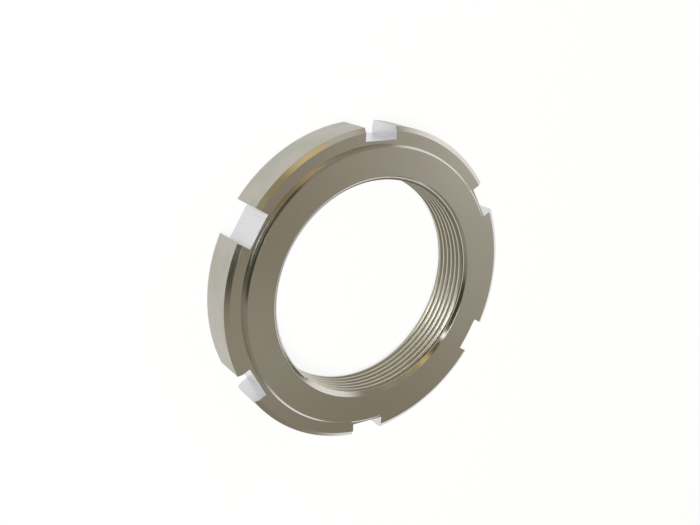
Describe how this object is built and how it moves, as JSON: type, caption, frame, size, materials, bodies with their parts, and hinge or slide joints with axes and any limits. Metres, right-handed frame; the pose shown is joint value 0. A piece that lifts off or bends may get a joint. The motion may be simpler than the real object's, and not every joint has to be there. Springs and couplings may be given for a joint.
{
  "type": "coilover lock ring",
  "caption": "Flat ring nut with a fine-threaded bore, square spanner slots round its rim and a low boss on its upper face, which locks a spring seat on a threaded damper body.",
  "frame": {"origin": "centre of the underside, on the ring's axis", "axes": "+Z along the bore's axis, from the underside to the boss face; +X through the middle of a spanner slot"},
  "size_m": [0.0736, 0.074, 0.011],
  "materials": {
    "satin_alloy": "satin turned, clear anodised"
  },
  "bodies": {
    "root": {"lock_ring": "satin_alloy"}
  },
  "joints": []
}
